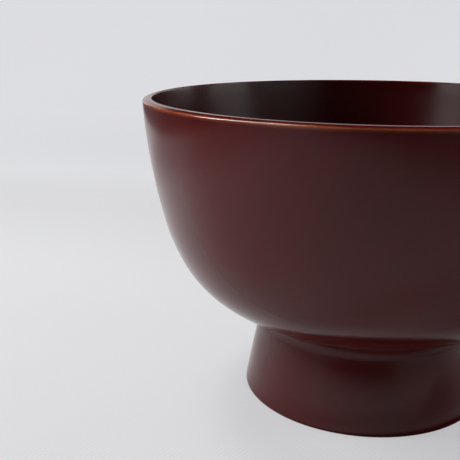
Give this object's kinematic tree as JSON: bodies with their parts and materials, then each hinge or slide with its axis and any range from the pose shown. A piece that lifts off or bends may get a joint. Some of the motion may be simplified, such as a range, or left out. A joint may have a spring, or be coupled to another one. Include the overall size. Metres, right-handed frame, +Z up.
{
  "type": "soup bowl",
  "caption": "Open lacquered wooden soup bowl: deep round body on a tall flared foot, with a thin lip where the red undercoat shows through along the edge.",
  "frame": {"origin": "centre of the standing face, on the surface that the bowl stands on", "axes": "+Z up along the axis that the whole bowl is turned about; +X and +Y are free"},
  "size_m": [0.12, 0.12, 0.0799],
  "materials": {
    "wood": "turned blank, sealed and covered by the coats all over",
    "vermilion_undercoat": "opaque vermilion lacquer over its ground, seen only where the top coat is rubbed through along the lip",
    "outer_lacquer": "translucent brown-red lacquer, semi-gloss, redder and thinner just below the lip",
    "inner_lacquer": "translucent brown-red lacquer, semi-gloss, inside the bowl and over the lip",
    "foot_lacquer": "the same lacquer on the edge that the bowl stands on and in the foot well, a little duller"
  },
  "bodies": {
    "root": {"wood_core": "wood", "outer_undercoat": "vermilion_undercoat", "inner_undercoat": "vermilion_undercoat", "foot_well_undercoat": "vermilion_undercoat", "outer_top_coat": "outer_lacquer", "inner_top_coat": "inner_lacquer", "foot_well_top_coat": "foot_lacquer", "foot_edge_coat": "foot_lacquer"}
  },
  "joints": []
}
